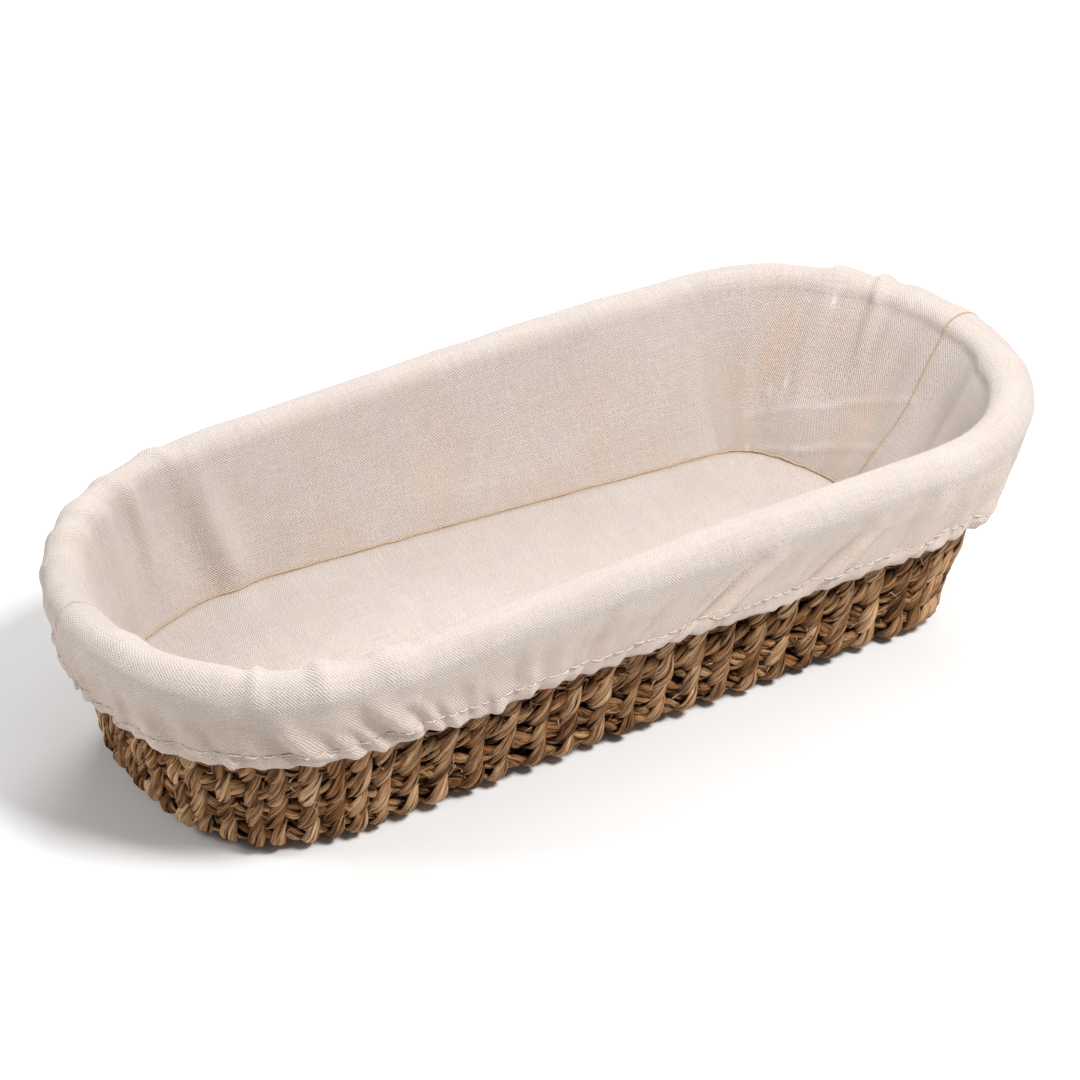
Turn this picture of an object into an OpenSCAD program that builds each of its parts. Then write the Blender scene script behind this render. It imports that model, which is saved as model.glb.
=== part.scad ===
// Oblong proofing basket of twisted sedge, with a lift-out cloth liner whose
// elastic cuff folds over the rim.
// Millimetres. Origin at the centre of the underside, +X along the basket, +Z up.

/* [Basket outline] */
// Half of the straight run of each long side
straight_half = 98.5; // [80:0.5:120]
// Radius of the rounded ends, taken at the middle of the wall, at the table
foot_radius = 51; // [46:0.5:58]
// Outward lean of the wall: millimetres of radius gained per millimetre of height
flare = 0.26; // [0.2:0.01:0.3]

/* [Straw coils] */
// Thickness of a coil through the wall
coil_t = 6; // [5:0.2:7]
// Height of a wall coil along the lean of the wall
coil_h = 10.4; // [9.5:0.1:10.6]
// Rise from one wall coil to the next
coil_rise = 10.4; // [10.2:0.1:10.6]
// Height of the middle of the lowest wall coil
first_coil_z = 7.3; // [7.3:0.1:8]
// Spacing of the coils of the base
base_pitch = 8.9; // [8.6:0.1:8.9]
// Radius of the braided rim's section
rim_r = 5.7; // [5:0.1:5.8]

/* [Twining] */
// Spacing of the twined ribs along the straight sides
rib_pitch = 11.5; // [9:0.5:14]
// Width of a rib
rib_w = 5.4; // [4:0.2:7]
// How far a rib stands from the coils
rib_t = 2; // [1.4:0.1:2.2]
// Number of ribs round each end
end_ribs = 23; // [15:1:25]

/* [Liner] */
// Thickness of the cloth
cloth_t = 1.2; // [0.8:0.1:1.4]
// Radius of the roll of cloth over the rim, outside
roll_r = 7.3; // [7.2:0.1:8]
// Height of the underside of the liner's floor
floor_z = 15; // [13:0.5:20]
// Height of the lower edge of the cuff
hem_z = 42.2; // [36:0.2:46]
// Height of the casing that holds the elastic
casing_h = 5.4; // [4:0.2:8]
// Thickness of the casing
casing_t = 2.6; // [2.4:0.1:3]
// Length of one hem stitch
stitch_l = 2.8; // [2:0.1:3.2]
// Distance from one hem stitch to the next
stitch_pitch = 4; // [3.6:0.1:6]

/* [Hidden] */
$fn = 48;
base_coils = 5;
wall_coils = 6;
gap = 0.05;
skin_t = 1;
plate_t = 2;
lean = atan(flare);
// A distance square to the wall, measured level
level = 1 / cos(lean);
base_coil_z = plate_t + gap + coil_t / 2;
inner_plate_z = base_coil_z + coil_t / 2 + gap;
rim_z = 70.1;
rim_radius = 69.6;
twine_top = 64;
// The liner's wall hangs from the roll and leans a little more than the straw
liner_lean = 0.27;
roll_in = roll_r - cloth_t;
casing_top = hem_z + casing_h;
elastic_t = 1;
elastic_margin = 0.8;
thread_r = 0.7;
seam_w = 3.2;
seam_t = 0.6;

straw = [0.62, 0.5, 0.36];
straw_dark = [0.5, 0.38, 0.26];
cloth = [0.93, 0.9, 0.85];
thread = [0.83, 0.74, 0.6];

// Radius of the ends at the middle of the wall, at a height
function wall_r(z) = foot_radius + flare * z;

// Radius of the ends at the liner wall's outer face, at a height
function liner_r(z) = rim_radius - roll_in - liner_lean * (rim_z - z);

// Radius of the ends at the cuff's outer face, at a height
function cuff_r(z) = rim_radius + roll_r - (rim_z - z) * cuff_slope;
casing_r = wall_r(casing_top) + (coil_t / 2 + rib_t) * level + 0.6;
cuff_slope = (rim_radius + roll_r - casing_r - (casing_t + cloth_t) / 2) / (rim_z - casing_top);

// Sweeps a section, drawn as radius and height, round the half of the oval on the +Y side
module half_oval() {
    translate([straight_half, 0, 0])
        rotate_extrude(angle = 90)
            children();
    translate([-straight_half, 0, 0])
        rotate([0, 0, 90])
            rotate_extrude(angle = 90)
                children();
    translate([-straight_half, 0, 0])
        rotate([90, 0, 90])
            linear_extrude(2 * straight_half)
                children();
}

// Sweeps a section round the whole oval
module oval() {
    half_oval()
        children();
    rotate([0, 0, 180])
        half_oval()
            children();
}

// Sweeps a section round the end on the +X side
module oval_end() {
    translate([straight_half, 0, 0])
        rotate([0, 0, -90])
            rotate_extrude(angle = 180)
                children();
}

// A flat oval plate
module plate(radius, z, t) {
    translate([0, 0, z]) {
        for (side = [-1, 1])
            translate([side * straight_half, 0, 0])
                cylinder(r = radius, h = t);
        translate([-straight_half, -radius, 0])
            cube([2 * straight_half, 2 * radius, t]);
    }
}

// Section of a coil: a slab with rounded edges, w long
module coil_section(w) {
    for (side = [-1, 1])
        translate([0, side * (w - coil_t) / 2])
            circle(r = coil_t / 2);
    square([coil_t, w - coil_t], center = true);
}

// Section of a layer that follows the wall, between two distances from its middle
module wall_layer(near, far, z0, z1) {
    polygon([
        [wall_r(z0) + near * level, z0],
        [wall_r(z0) + far * level, z0],
        [wall_r(z1) + far * level, z1],
        [wall_r(z1) + near * level, z1]
    ]);
}

// ---- Straw basket ----

module base_core() {
    color(straw)
        plate(base_pitch / 2 - 0.1, base_coil_z - coil_t / 2, coil_t);
}

module base_coil(i) {
    color(straw)
        oval()
            translate([i * base_pitch, base_coil_z])
                rotate([0, 0, 90])
                    coil_section(base_pitch - 0.2);
}

module wall_coil(i) {
    z = first_coil_z + (i - 1) * coil_rise;
    color(straw)
        oval()
            translate([wall_r(z), z])
                rotate([0, 0, -lean])
                    coil_section(coil_h);
}

module rim_border() {
    color(straw)
        oval()
            translate([rim_radius, rim_z])
                circle(r = rim_r);
}

// Flat ribs that run out from the core, on one side of a plate that they all join
module radial_ribs(radius, z) {
    for (side = [-1, 1])
        for (x = [-straight_half + rib_pitch / 2 : rib_pitch : straight_half])
            translate([x - rib_w / 2, side > 0 ? 0 : -radius, z])
                cube([rib_w, radius, skin_t + gap]);
    for (end = [0, 180])
        rotate([0, 0, end])
            for (i = [0 : end_ribs - 1])
                translate([straight_half, 0, z])
                    rotate([0, 0, (i + 0.5) * 180 / end_ribs - 90])
                        translate([i % 2 == 0 ? 0 : radius / 2, -rib_w / 2, 0])
                            cube([i % 2 == 0 ? radius : radius / 2, rib_w, skin_t + gap]);
}

module twining_under() {
    color(straw_dark) {
        plate(foot_radius + 2.8, skin_t, plate_t - skin_t);
        radial_ribs(foot_radius + 2.5, 0);
    }
}

module twining_over() {
    color(straw_dark) {
        plate(foot_radius - 3.5, inner_plate_z, plate_t - skin_t);
        radial_ribs(foot_radius - 3.8, inner_plate_z + plate_t - skin_t - gap);
    }
}

// Sections of the twining on both faces of the wall: its ground, and its ribs
module twining_ground() {
    wall_layer(coil_t / 2 + gap, coil_t / 2 + skin_t, 0, twine_top);
    wall_layer(-coil_t / 2 - skin_t, -coil_t / 2 - gap, inner_plate_z, twine_top);
}

module twining_ribs() {
    wall_layer(coil_t / 2 + skin_t + gap, coil_t / 2 + rib_t, 0, twine_top);
    wall_layer(-coil_t / 2 - rib_t, -coil_t / 2 - skin_t - gap, inner_plate_z, twine_top);
}

module side_twining() {
    color(straw_dark) {
        translate([-straight_half, 0, 0])
            rotate([90, 0, 90])
                linear_extrude(2 * straight_half)
                    twining_ground();
        for (x = [-straight_half + rib_pitch / 2 : rib_pitch : straight_half])
            translate([x, 0, 0])
                rotate([90, 0, 90])
                    linear_extrude(rib_w, center = true)
                        twining_ribs();
    }
}

module end_twining() {
    rib_angle = rib_w / wall_r(twine_top / 2) * 180 / PI;
    color(straw_dark) {
        oval_end()
            twining_ground();
        for (i = [0 : end_ribs - 1])
            translate([straight_half, 0, 0])
                rotate([0, 0, (i + 0.5) * 180 / end_ribs - 90 - rib_angle / 2])
                    rotate_extrude(angle = rib_angle)
                        twining_ribs();
    }
}

// ---- Liner ----

module liner_floor() {
    color(cloth)
        plate(liner_r(floor_z) - cloth_t - 0.1, floor_z, cloth_t);
}

// The wall panel, with the roll of cloth that carries it on the rim
module liner_wall() {
    color(cloth)
        half_oval() {
            polygon([
                [liner_r(floor_z) - cloth_t, floor_z],
                [liner_r(floor_z), floor_z],
                [liner_r(rim_z), rim_z],
                [liner_r(rim_z) - cloth_t, rim_z]
            ]);
            translate([rim_radius, rim_z])
                intersection() {
                    difference() {
                        circle(r = roll_r);
                        circle(r = roll_in);
                    }
                    translate([-roll_r, 0])
                        square([2 * roll_r, roll_r]);
                }
        }
}

module liner_cuff() {
    color(cloth)
        half_oval()
            polygon([
                [cuff_r(casing_top) - cloth_t, casing_top + gap],
                [cuff_r(casing_top), casing_top + gap],
                [cuff_r(rim_z), rim_z - gap],
                [cuff_r(rim_z) - cloth_t, rim_z - gap]
            ]);
}

// A slanted block that follows the wall, for the casing and what is in it
module casing_block(inset) {
    polygon([
        [casing_r + inset - flare * (casing_h - inset), hem_z + inset],
        [casing_r + casing_t - inset - flare * (casing_h - inset), hem_z + inset],
        [casing_r + casing_t - inset - flare * inset, casing_top - inset],
        [casing_r + inset - flare * inset, casing_top - inset]
    ]);
}

module hem_casing() {
    color(cloth)
        oval()
            difference() {
                casing_block(0);
                casing_block(elastic_margin - 0.1);
            }
}

module hem_elastic() {
    color([0.96, 0.96, 0.95])
        oval()
            casing_block(elastic_margin);
}

module stitch(z) {
    translate([-stitch_l / 2, cuff_r(z) + gap, z - 0.25])
        cube([stitch_l, 0.6, 0.5]);
}

module hem_stitching() {
    z = casing_top + 1;
    per_side = floor(2 * straight_half / stitch_pitch);
    per_end = floor(180 * cuff_r(z) * PI / 180 / stitch_pitch);
    color(thread)
        for (side = [0, 180])
            rotate([0, 0, side]) {
                for (i = [0 : per_side - 1])
                    translate([(i + 0.5 - per_side / 2) * stitch_pitch, 0, 0])
                        stitch(z);
                for (i = [0 : per_end - 1])
                    translate([straight_half, 0, 0])
                        rotate([0, 0, -(i + 0.5) * 180 / per_end])
                            stitch(z);
            }
}

module floor_seam() {
    z = floor_z + cloth_t + thread_r + gap;
    color(thread)
        oval()
            translate([liner_r(floor_z) - cloth_t - thread_r + 0.1, z])
                circle(r = thread_r, $fn = 24);
}

// The joined edges of the two wall panels, inside one end
module end_seam() {
    z0 = floor_z + cloth_t + 2 * thread_r + 0.4;
    angle = seam_w / liner_r(z0) * 180 / PI;
    inner = cloth_t + gap;
    color(cloth)
        translate([straight_half, 0, 0])
            rotate([0, 0, -angle / 2])
                rotate_extrude(angle = angle)
                    polygon([
                        [liner_r(z0) - inner - seam_t, z0],
                        [liner_r(z0) - inner, z0],
                        [liner_r(rim_z) - inner, rim_z],
                        [liner_r(rim_z) - inner - seam_t, rim_z]
                    ]);
}

// ---- Assembly ----

base_core();
base_coil(1);  // base_coil_1
base_coil(2);  // base_coil_2
base_coil(3);  // base_coil_3
base_coil(4);  // base_coil_4
base_coil(5);  // base_coil_5
wall_coil(1);  // wall_coil_1
wall_coil(2);  // wall_coil_2
wall_coil(3);  // wall_coil_3
wall_coil(4);  // wall_coil_4
wall_coil(5);  // wall_coil_5
wall_coil(6);  // wall_coil_6
rim_border();
twining_under();
twining_over();
rotate([0, 0, 180]) side_twining();  // twining_front
side_twining();  // twining_back
rotate([0, 0, 180]) end_twining();  // twining_left
end_twining();  // twining_right
liner_floor();
rotate([0, 0, 180]) liner_wall();  // liner_wall_front
liner_wall();  // liner_wall_back
rotate([0, 0, 180]) liner_cuff();  // liner_cuff_front
liner_cuff();  // liner_cuff_back
hem_casing();
hem_elastic();
hem_stitching();
floor_seam();
rotate([0, 0, 180]) end_seam();  // end_seam_left
end_seam();  // end_seam_right
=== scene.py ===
"""The looks of an oblong proofing basket, twined from sedge, and of its cloth liner."""
import math

import bpy
import numpy as np
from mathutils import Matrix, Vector


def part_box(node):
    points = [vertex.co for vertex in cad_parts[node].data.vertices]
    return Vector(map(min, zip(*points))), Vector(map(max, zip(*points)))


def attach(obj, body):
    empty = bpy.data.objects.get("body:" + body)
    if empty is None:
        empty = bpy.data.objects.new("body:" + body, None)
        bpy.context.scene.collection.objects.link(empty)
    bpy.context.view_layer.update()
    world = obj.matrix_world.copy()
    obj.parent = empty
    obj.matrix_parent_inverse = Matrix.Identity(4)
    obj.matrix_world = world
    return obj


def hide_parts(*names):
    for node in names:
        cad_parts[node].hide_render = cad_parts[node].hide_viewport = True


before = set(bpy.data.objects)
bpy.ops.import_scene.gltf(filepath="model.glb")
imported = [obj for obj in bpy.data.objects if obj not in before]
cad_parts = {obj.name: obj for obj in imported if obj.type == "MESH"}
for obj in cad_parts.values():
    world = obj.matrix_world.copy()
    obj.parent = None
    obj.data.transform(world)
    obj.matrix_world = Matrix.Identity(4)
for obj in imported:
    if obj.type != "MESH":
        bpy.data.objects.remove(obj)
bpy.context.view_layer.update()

MM = 0.001
TAU = 2 * math.pi


def box_mm(node):
    """Lowest and highest corner of a CAD node, in millimetres."""
    lo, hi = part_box(node)
    return np.array(lo) / MM, np.array(hi) / MM


# ---- Sizes read from the frame, all in millimetres ----

rim_lo, rim_hi = box_mm("rim_border")
RIM_SECTION = (rim_hi[2] - rim_lo[2]) / 2
RIM_Z = (rim_hi[2] + rim_lo[2]) / 2
RIM_R = rim_hi[1] - RIM_SECTION
STRAIGHT_HALF = rim_hi[0] - rim_hi[1]

core_lo, core_hi = box_mm("base_core")
COIL_T = core_hi[2] - core_lo[2]
BASE_Z = (core_hi[2] + core_lo[2]) / 2
BASE_PITCH = box_mm("base_coil_2")[1][1] - box_mm("base_coil_1")[1][1]
WALL_COILS = 6
BASE_COILS = 5
low_coil = box_mm("wall_coil_1")
top_coil = box_mm("wall_coil_6")
COIL_Z = [float(np.mean([b[2] for b in box_mm(f"wall_coil_{i + 1}")])) for i in range(WALL_COILS)]
FLARE = (top_coil[1][1] - low_coil[1][1]) / (COIL_Z[-1] - COIL_Z[0])
LEAN = math.atan(FLARE)
coil_rest = ((low_coil[1][2] - low_coil[0][2]) - COIL_T) / 2
FOOT_R = low_coil[1][1] - COIL_T / 2 - coil_rest * math.tan(LEAN) - FLARE * COIL_Z[0]

# The cloth rolls over the rim this far inside the CAD's own roll, which leaves room for its folds
ROLL_INSET = 0.4
ROLL_R = box_mm("liner_wall_front")[1][2] - RIM_Z - ROLL_INSET
HEM_LO, HEM_HI = (c[2] for c in box_mm("hem_casing"))

# s, the distance round the outline, runs over the front, the right end, the back and the left end,
# each SIDE long
SIDE = 2 * STRAIGHT_HALF
ROUND = 4 * SIDE

# The twined ribs along each side and round each end
RIBS_A_SIDE = 17
RIBS_AN_END = 23

# How blunt the rounded ends are: the exponent of their curve at the table, and at the rim
BLUNT_FOOT_LEFT = 2.7
BLUNT_FOOT_RIGHT = 2.35
BLUNT_RIM = 2.05
# The right-hand end is drawn in below the rim by this share, over this height
END_DRAW = 0.46
END_DRAW_HEIGHT = 58
# How far the ends of the rim lie below its middle
RIM_DIP = 3.7
# The foot is racked towards the front at the right-hand end, by this much
FOOT_RACK = 5.8


# ---- Smooth noise, the same on every run ----

def table(seed, size=1024):
    return np.random.default_rng(seed).uniform(-1, 1, size)


def noise1(x, seed):
    """Smooth noise in -1..1 along x."""
    t = table(seed)
    x = np.asarray(x, float)
    i = np.floor(x).astype(int)
    f = x - i
    f = f * f * (3 - 2 * f)
    return t[i % len(t)] * (1 - f) + t[(i + 1) % len(t)] * f


def between(grid, i, j, f, g):
    """grid at the fractions f and g of the way from its cell i, j to the next. It wraps at its edges."""
    n, m = grid.shape
    near = grid[i % n, j % m] * (1 - f) + grid[(i + 1) % n, j % m] * f
    far = grid[i % n, (j + 1) % m] * (1 - f) + grid[(i + 1) % n, (j + 1) % m] * f
    return near * (1 - g) + far * g


def noise2(x, y, seed):
    """Smooth noise in -1..1 over x and y."""
    x, y = np.broadcast_arrays(np.asarray(x, float), np.asarray(y, float))
    i, j = np.floor(x).astype(int), np.floor(y).astype(int)
    f, g = x - i, y - j
    return between(table(seed, (256, 256)), i, j, f * f * (3 - 2 * f), g * g * (3 - 2 * g))


def new_seed(rng):
    return int(rng.integers(1 << 30))


def bump(x, centre, width):
    """1 at centre, falling smoothly to 0 on both sides."""
    return np.exp(-(((x - centre) / width) ** 2))


def ease(x, lo, hi):
    """0 below lo and 1 above hi, with a smooth step between."""
    t = np.clip((x - lo) / (hi - lo), 0, 1)
    return t * t * (3 - 2 * t)


# ---- The shared shape: an oval outline, and the curve from the middle of the base up the wall ----

def oval(s, r, z):
    """Point and outward direction on the outline. s runs round it: front, right end, back, left end."""
    s, r, z = np.broadcast_arrays(np.asarray(s, float) % ROUND, np.asarray(r, float), np.asarray(z, float))
    half = s >= 2 * SIDE
    foot = np.where(half, BLUNT_FOOT_LEFT, BLUNT_FOOT_RIGHT)
    n = foot + (BLUNT_RIM - foot) * np.clip(z / RIM_Z, 0, 1)
    draw = np.where(half, 1, 1 - END_DRAW * np.clip((RIM_Z - z) / END_DRAW_HEIGHT, 0, 1))
    t = np.where(half, s - 2 * SIDE, s)
    on_end = t >= SIDE
    angle = np.where(on_end, (t - SIDE) / SIDE * math.pi - math.pi / 2, -math.pi / 2)
    c, d = np.cos(angle), np.sin(angle)
    c = np.where(np.abs(c) < 1e-9, 0, c)
    ac, ad = np.abs(c), np.abs(d)
    rho = r / (ac ** n + ad ** n) ** (1 / n)
    x = np.where(on_end, STRAIGHT_HALF + rho * c * draw, -STRAIGHT_HALF + t)
    y = np.where(on_end, rho * d, -r)
    nx = np.where(on_end, np.sign(c) * ac ** (n - 1) / draw, 0)
    ny = np.where(on_end, np.sign(d) * ad ** (n - 1), -1)
    size = np.hypot(nx, ny)
    turn = np.where(half, -1, 1)
    return x * turn, y * turn, nx / size * turn, ny / size * turn


CORNER_R = 6.0
corner_tangent = CORNER_R * math.tan((math.pi / 2 - LEAN) / 2)
Q_CORNER = FOOT_R + FLARE * BASE_Z - corner_tangent
Q_WALL = Q_CORNER + CORNER_R * (math.pi / 2 - LEAN)
WALL_START_Z = BASE_Z + corner_tangent * math.cos(LEAN)


def profile(q):
    """Radius, height and outward direction in the middle of the straw, out over the base and up the wall."""
    q = np.asarray(q, float)
    turn = np.clip((q - Q_CORNER) / CORNER_R, 0, math.pi / 2 - LEAN)
    up = np.maximum(q - Q_WALL, 0)
    flat = np.minimum(q, Q_CORNER)
    r = flat + CORNER_R * np.sin(turn) + up * math.sin(LEAN)
    z = BASE_Z + CORNER_R * (1 - np.cos(turn)) + up * math.cos(LEAN)
    return r, z, np.sin(turn), -np.cos(turn)


def settle(p):
    """The basket as it stands: its rim lower at the ends, its foot not quite square, and its base flat."""
    x, z = p[..., 0], p[..., 2]
    out = np.array(p, float)
    out[..., 1] -= FOOT_RACK * np.clip((x / STRAIGHT_HALF + 1) / 2, 0, 1) * (1 - z / RIM_Z)
    out[..., 2] -= RIM_DIP * (x / (STRAIGHT_HALF + RIM_R)) ** 2 * z / RIM_Z
    out[..., 2] = np.maximum(out[..., 2], 0)
    return out


def frame_at(s, q):
    """Point on the middle of the straw, and the outward, along and up-the-wall directions there."""
    r, z, nr, nz = profile(q)
    x, y, nx, ny = oval(s, r, z)
    r, z, nr, nz = np.broadcast_arrays(r, z, nr, nz)
    point = np.stack([x, y, z], -1)
    out = np.stack([nx * nr, ny * nr, nz + 0 * x], -1)
    along = np.stack([-ny, nx, 0 * x], -1)
    up = np.stack([nx * -nz, ny * -nz, nr + 0 * x], -1)
    return point, out, along, up


Q_ROWS = [i * BASE_PITCH for i in range(BASE_COILS + 1)]
Q_ROWS.append(Q_CORNER + 0.72 * (Q_WALL - Q_CORNER))
Q_ROWS += [Q_WALL + (z - WALL_START_Z) / math.cos(LEAN) for z in COIL_Z[1:]]
Q_RIM = Q_WALL + (RIM_Z - WALL_START_Z) / math.cos(LEAN)
Q_TOP = Q_RIM - RIM_SECTION + 2.0
Q_HEM = Q_WALL + (HEM_LO - WALL_START_Z) / math.cos(LEAN)


def row_at(q):
    """Number of the coil that q is at, with halves between the coils."""
    known = np.array(Q_ROWS + [Q_RIM])
    return np.interp(q, known, np.arange(len(known)))


# ---- Mesh building ----

def unit(v):
    return v / (np.linalg.norm(v, axis=-1, keepdims=True) + 1e-12)


def section_axes(line, thin):
    """The ways of a section's thickness and width, square to line. thin is about the first of them."""
    ahead = unit(np.gradient(line, axis=0))
    thin = unit(thin - (thin * ahead).sum(-1, keepdims=True) * ahead)
    return thin, np.cross(thin, ahead)


def add_object(name, data):
    made = bpy.data.objects.new(name, data)
    bpy.context.scene.collection.objects.link(made)
    return made


# Straw this far out from the middle of the wall gets no painted shade, and painted shade darkens and warms
# it over this depth inwards
OPEN_HEIGHT = 3.2
RECESS_DEPTH = 2.7
# and the inner face, which is flatter, counts as this much further out
INSIDE_LIFT = 1.4


class Mesh:
    """Collects tubes and sheets, with the straw's own coordinates and tones, into one object."""

    def __init__(self):
        self.verts, self.quads, self.tris, self.fibre, self.tone = [], [], [], [], []
        self.count = 0

    def add(self, verts, quads, tris, fibre, tone):
        self.verts.append(verts.reshape(-1, 3))
        self.quads.append(np.asarray(quads, int).reshape(-1, 4) + self.count)
        self.tris.append(np.asarray(tris, int).reshape(-1, 3) + self.count)
        self.fibre.append(fibre.reshape(-1, 3))
        self.tone.append(tone.reshape(-1, 3))
        self.count += len(self.verts[-1])

    def tube(self, line, thin, half_w, half_t, shape, crease, tone, offset, face=None):
        """Sweeps a section along line. thin is the way of its thickness, and shape scales each point of it.
        face is the middle of the straw beside line, and the way out there: painted shade darkens and warms
        the strand towards the middle."""
        n, m = shape.shape
        thin, wide = section_axes(line, thin)
        angle = np.arange(m) * TAU / m
        px = half_w[:, None] * shape * np.cos(angle)
        py = half_t[:, None] * shape * np.sin(angle)
        ring = line[:, None] + px[..., None] * wide[:, None] + py[..., None] * thin[:, None]
        far = np.concatenate([[0], np.cumsum(np.linalg.norm(np.diff(line, axis=0), axis=1))])
        fibre = np.stack([np.broadcast_to(far[:, None], (n, m)), px, py], -1) + offset
        warmth = np.full((n, m), tone[1])
        if face is not None:
            height = ((ring - face[0][:, None]) * face[1][:, None]).sum(-1)
            inward = ((ring - line[:, None]) * face[1][:, None]).sum(-1) < 0
            height = np.where(inward & (height < 0), INSIDE_LIFT - height, height)
            # painted shade: darker and warmer in the recesses, where shade falls
            recess = np.clip((OPEN_HEIGHT - height) / RECESS_DEPTH, 0, 1)
            warmth = warmth + 0.7 * recess
            crease = crease + 0.85 * recess ** 1.15
        tones = np.stack([crease, np.full((n, m), tone[0]), warmth], -1)
        i, j = np.meshgrid(np.arange(n - 1), np.arange(m), indexing="ij")
        k = (j + 1) % m
        quads = np.stack([i * m + j, i * m + k, (i + 1) * m + k, (i + 1) * m + j], -1)
        ends = np.stack([line[0], line[-1]])
        verts = np.concatenate([ring.reshape(-1, 3), ends])
        fibre = np.concatenate([fibre.reshape(-1, 3), fibre[[0, -1]].mean(1)])
        tones = np.concatenate([tones.reshape(-1, 3), tones[[0, -1]].mean(1)])
        a, b = np.arange(m), (np.arange(m) + 1) % m
        first = np.stack([b, a, np.full(m, n * m)], -1)
        last = np.stack([a + (n - 1) * m, b + (n - 1) * m, np.full(m, n * m + 1)], -1)
        self.add(verts, quads, np.concatenate([first, last]), fibre, tones)

    def build(self, name, material, body, slot, nodes):
        verts = settle(np.concatenate(self.verts)) * MM
        quads, tris = np.concatenate(self.quads), np.concatenate(self.tris)
        mesh = bpy.data.meshes.new(name)
        mesh.vertices.add(len(verts))
        mesh.vertices.foreach_set("co", verts.astype(np.float32).ravel())
        corners = np.concatenate([quads.ravel(), tris.ravel()])
        mesh.loops.add(len(corners))
        mesh.loops.foreach_set("vertex_index", corners.astype(np.int32))
        starts = np.concatenate([np.arange(len(quads)) * 4, len(quads) * 4 + np.arange(len(tris)) * 3])
        mesh.polygons.add(len(starts))
        mesh.polygons.foreach_set("loop_start", starts.astype(np.int32))
        mesh.polygons.foreach_set("use_smooth", np.ones(len(starts), bool))
        for label, values in (("fibre", self.fibre), ("tone", self.tone)):
            layer = mesh.attributes.new(label, "FLOAT_VECTOR", "POINT")
            layer.data.foreach_set("vector", np.concatenate(values).astype(np.float32).ravel())
        mesh.update(calc_edges=True)
        mesh.validate()
        mesh.materials.append(material)
        piece = add_object(name, mesh)
        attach(piece, body)
        if nodes:
            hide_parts(*nodes)
        return piece


# ---- Materials ----

def new_material(name):
    material = bpy.data.materials.new(name)
    material.use_nodes = True
    tree = material.node_tree
    tree.nodes.clear()
    return material, tree


def node(tree, kind, inputs=(), **settings):
    made = tree.nodes.new(kind)
    for key, value in settings.items():
        setattr(made, key, value)
    for key, value in dict(inputs).items():
        if isinstance(value, bpy.types.NodeSocket):
            tree.links.new(value, made.inputs[key])
        else:
            made.inputs[key].default_value = value
    return made


def math_node(tree, operation, a, b=0.0, clamp=False):
    made = node(tree, "ShaderNodeMath", {0: a, 1: b}, operation=operation)
    made.use_clamp = clamp
    return made.outputs[0]


def ramp(tree, factor, stops):
    made = node(tree, "ShaderNodeValToRGB", {"Fac": factor})
    points = made.color_ramp.elements
    while len(points) < len(stops):
        points.new(0.5)
    for point, (place, colour) in zip(points, stops):
        point.position = place
        point.color = (*colour, 1)
    return made.outputs["Color"]


def mix(tree, factor, a, b, blend="MIX"):
    made = node(tree, "ShaderNodeMix", data_type="RGBA", blend_type=blend)
    for key, value in ((0, factor), (6, a), (7, b)):
        if isinstance(value, bpy.types.NodeSocket):
            tree.links.new(value, made.inputs[key])
        elif key == 0:
            made.inputs[key].default_value = value
        else:
            made.inputs[key].default_value = (*value, 1)
    return made.outputs[2]


def times(tree, a, b, clamp=False):
    return math_node(tree, "MULTIPLY", a, b, clamp)


def scaled(tree, a, gain, offset):
    return node(tree, "ShaderNodeMath", {0: a, 1: gain, 2: offset}, operation="MULTIPLY_ADD").outputs[0]


def total(tree, first, *terms):
    """first, plus each of terms: a socket and its weight."""
    for socket, weight in terms:
        first = math_node(tree, "ADD", first, times(tree, socket, weight))
    return first


def noise_node(tree, vector, stretch, detail, **settings):
    """Noise over vector, stretched by a different scale along each axis."""
    mapped = node(tree, "ShaderNodeMapping", {"Vector": vector, "Scale": stretch}).outputs[0]
    return node(tree, "ShaderNodeTexNoise", {
        "Vector": mapped, "Scale": 1.0, "Detail": detail, **settings}).outputs["Fac"]


def own_coordinates(tree):
    """The vector along and across each strand or panel, and the three tones that Mesh keeps with it."""
    fibre = node(tree, "ShaderNodeAttribute", attribute_name="fibre").outputs["Vector"]
    tone = node(tree, "ShaderNodeAttribute", attribute_name="tone").outputs["Vector"]
    return fibre, *node(tree, "ShaderNodeSeparateXYZ", {0: tone}).outputs


def surface(tree, shader):
    out = node(tree, "ShaderNodeOutputMaterial")
    tree.links.new(shader.outputs[0], out.inputs["Surface"])


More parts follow.
